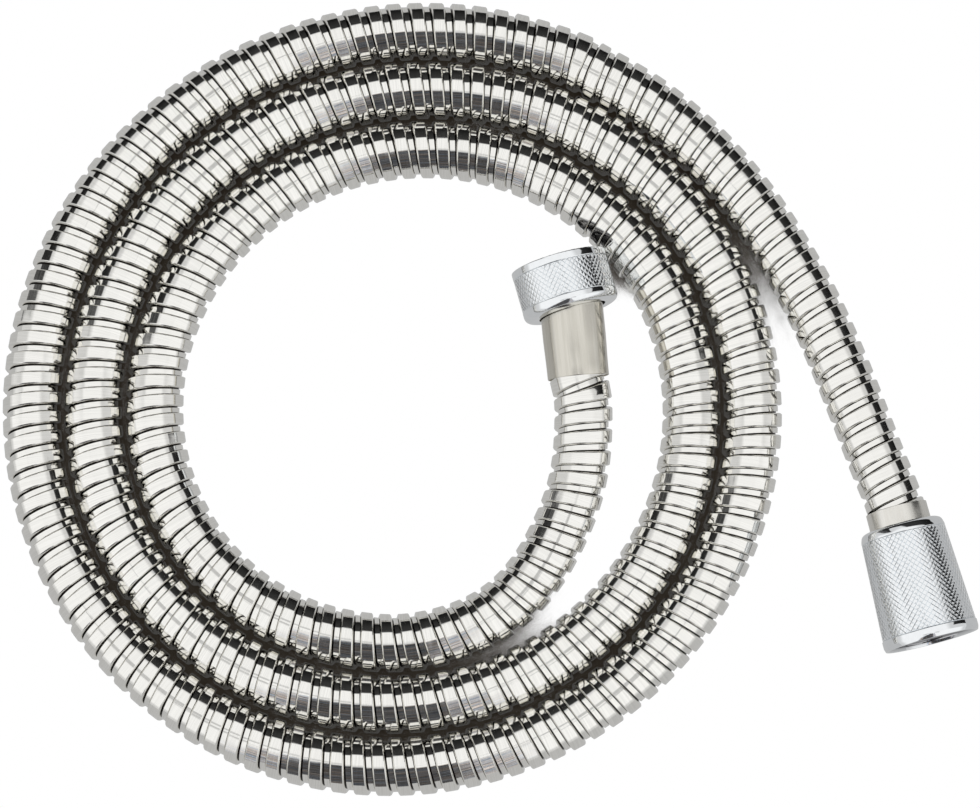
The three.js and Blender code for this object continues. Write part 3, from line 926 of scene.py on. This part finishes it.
def makeWorld():
    world = bpy.data.worlds.new("studioDome")
    bpy.context.scene.world = world
    world.use_nodes = True
    tree = world.node_tree
    tree.nodes.clear()
    way = addNode(tree, "ShaderNodeTexCoord").outputs["Generated"]
    x, y, z = splitVector(tree, way)
    azimuth = calc(tree, "DEGREES", calc(tree, "ARCTAN2", y, x))
    elevation = calc(tree, "DEGREES", calc(tree, "ARCSINE", z))
    pastLap = calc(tree, "GREATER_THAN", azimuth, studio["lapAt"])
    lapped = calc(tree, "SUBTRACT", azimuth, calc(tree, "MULTIPLY", pastLap, 360))
    mottle = studio["mottle"]
    streaks = addNode(tree, "ShaderNodeTexNoise", {
        "Vector": vectorCalc(tree, "MULTIPLY", way, mottle["scale"]),
        "Scale": 1, "Detail": 5, "Roughness": 0.7,
    })
    uneven = calc(tree, "MULTIPLY", calc(tree, "SUBTRACT", streaks.outputs[0], 0.5), mottle["spread"])
    uneven = calc(tree, "POWER", 2.0, uneven)
    tint = mixColour(tree, shareOf(tree, splitVector(tree, streaks.outputs[1])[1], *mottle["tintShare"]),
                     mottle["cool"], mottle["warm"])
    holes = addNode(tree, "ShaderNodeTexNoise", {"Vector": way, "Scale": studio["patches"]["scale"]})
    tone = studio["dome"]
    shaded = 0.0
    for name in ("farDome", "leftBox", "rightBox", "overhead", "nearHaze", "nearGap"):
        card = studio[name]
        seen = lapped if card["azimuth"][0] < 0 else azimuth
        mask = calc(tree, "MULTIPLY", between(tree, seen, *card["azimuth"], card["soft"]),
                    between(tree, elevation, *card["elevation"], card["soft"]))
        own = card["tone"]
        if name in ("nearHaze", "nearGap"):
            own = calc(tree, "MULTIPLY", own, uneven)
            shaded = calc(tree, "MAXIMUM", shaded, mask)
        if name == "overhead":
            mask = calc(tree, "MULTIPLY", mask, shareOf(tree, holes.outputs[0], *studio["patches"]["share"]))
        tone = mixValue(tree, mask, tone, own)
    flag = studio["farFlag"]
    # a ramp holds no value under 0, so heights go in as shares of 90 degrees, raised by a half
    stops = [(where / 180, (height / 90 + 0.5, 0, 0)) for where, height in flag["top"]]
    height = splitVector(tree, colourRamp(tree, calc(tree, "DIVIDE", azimuth, 180), stops))[0]
    top = calc(tree, "MULTIPLY", calc(tree, "SUBTRACT", height, 0.5), 90)
    above = calc(tree, "SUBTRACT", elevation, top)
    dark = calc(tree, "MULTIPLY", shareOf(tree, above, flag["soft"], -flag["soft"]),
                shareOf(tree, elevation, flag["bottom"] - flag["soft"], flag["bottom"] + flag["soft"]))
    foot, crown = flag["tone"]
    flagTone = mixValue(tree, shareOf(tree, elevation, 0, flag["crownAt"]), foot, crown)
    flagTone = mixValue(tree, shareOf(tree, azimuth, *flag["worn"]), flagTone,
                        calc(tree, "MULTIPLY", uneven, flag["wornTone"]))
    tone = mixValue(tree, dark, tone, flagTone)
    glossy = addNode(tree, "ShaderNodeLightPath").outputs["Is Glossy Ray"]
    background = addNode(tree, "ShaderNodeBackground", {
        "Color": mixColour(tree, calc(tree, "MULTIPLY", glossy, shaded), (1, 1, 1, 1), tint),
        "Strength": mixValue(tree, glossy, 1.0, tone),
    })
    output = addNode(tree, "ShaderNodeOutputWorld")
    tree.links.new(background.outputs[0], output.inputs["Surface"])


def makeTable():
    half = studio["tableSize"] / 2
    mesh = bpy.data.meshes.new("whiteTable")
    corners = [(-half, -half, 0), (half, -half, 0), (half, half, 0), (-half, half, 0)]
    mesh.from_pydata(corners, [], [(0, 1, 2, 3)])
    table = bpy.data.objects.new("whiteTable", mesh)
    bpy.context.scene.collection.objects.link(table)
    material, tree, shader = newMaterial("whitePaper")
    shader.inputs["Base Color"].default_value = studio["paper"]["tone"]
    shader.inputs["Roughness"].default_value = studio["paper"]["roughness"]
    # painted shadow: to the camera and in reflections the table glows, in a tone that falls dark where
    # ambient occlusion finds it closed in; no lamp casts it
    shade = addNode(tree, "ShaderNodeAmbientOcclusion", {"Distance": studio["paintedShadowReach"]}, samples=32)
    tone = colourRamp(tree, shade.outputs["AO"], studio["paintedShadowTones"])
    path = addNode(tree, "ShaderNodeLightPath").outputs
    lifted = calc(tree, "MULTIPLY", path["Is Glossy Ray"], studio["bounce"])
    seen = addNode(tree, "ShaderNodeEmission", {
        "Color": mixColour(tree, lifted, tone, (1, 1, 1, 1)),
        "Strength": mixValue(tree, path["Is Glossy Ray"], 1.0, studio["sheen"]),
    })
    direct = calc(tree, "MAXIMUM", calc(tree, "MAXIMUM", path["Is Camera Ray"], path["Is Glossy Ray"]),
                  path["Is Transmission Ray"])
    mixed = addNode(tree, "ShaderNodeMixShader", {0: direct})
    tree.links.new(shader.outputs[0], mixed.inputs[1])
    tree.links.new(seen.outputs[0], mixed.inputs[2])
    tree.links.new(mixed.outputs[0], tree.nodes["Material Output"].inputs["Surface"])
    mesh.materials.append(material)
    return table


steel = brightMetal("polishedStrip", steelLook, paintedGrooveShade)
hose, route, hoseLength = makeHose(steel)
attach(hose, "hose")
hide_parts("outer_hose")
print("hose is", round(hoseLength, 4), "m long")

chrome = brightMetal("chromePlate", chromeLook, boreShadeAndPlating)
nickel = {"round_nut": brightMetal("satinNickel", nickelLook),
          "cone_nut": brightMetal("brightNickel", brightNickelLook)}
brass = brightMetal("turnedBrass", brassLook)
blackRubber = rubber("blackRubber")
knurling = nutTree()
for end in ends:
    makeFerrule(end, nickel[end])
    makeStem(end, brass)
    makeWasher(end, blackRubber)
    makeNut(end, knurling, chrome)
    print(end, "fittings made")
tube = frame["nodes"]["inner_tube"]
tube.data.materials.clear()
tube.data.materials.append(rubber("tubeRubber"))

makeWorld()
makeTable()

scene = bpy.context.scene
scene.view_settings.view_transform = "Standard"

bpy.context.view_layer.update()
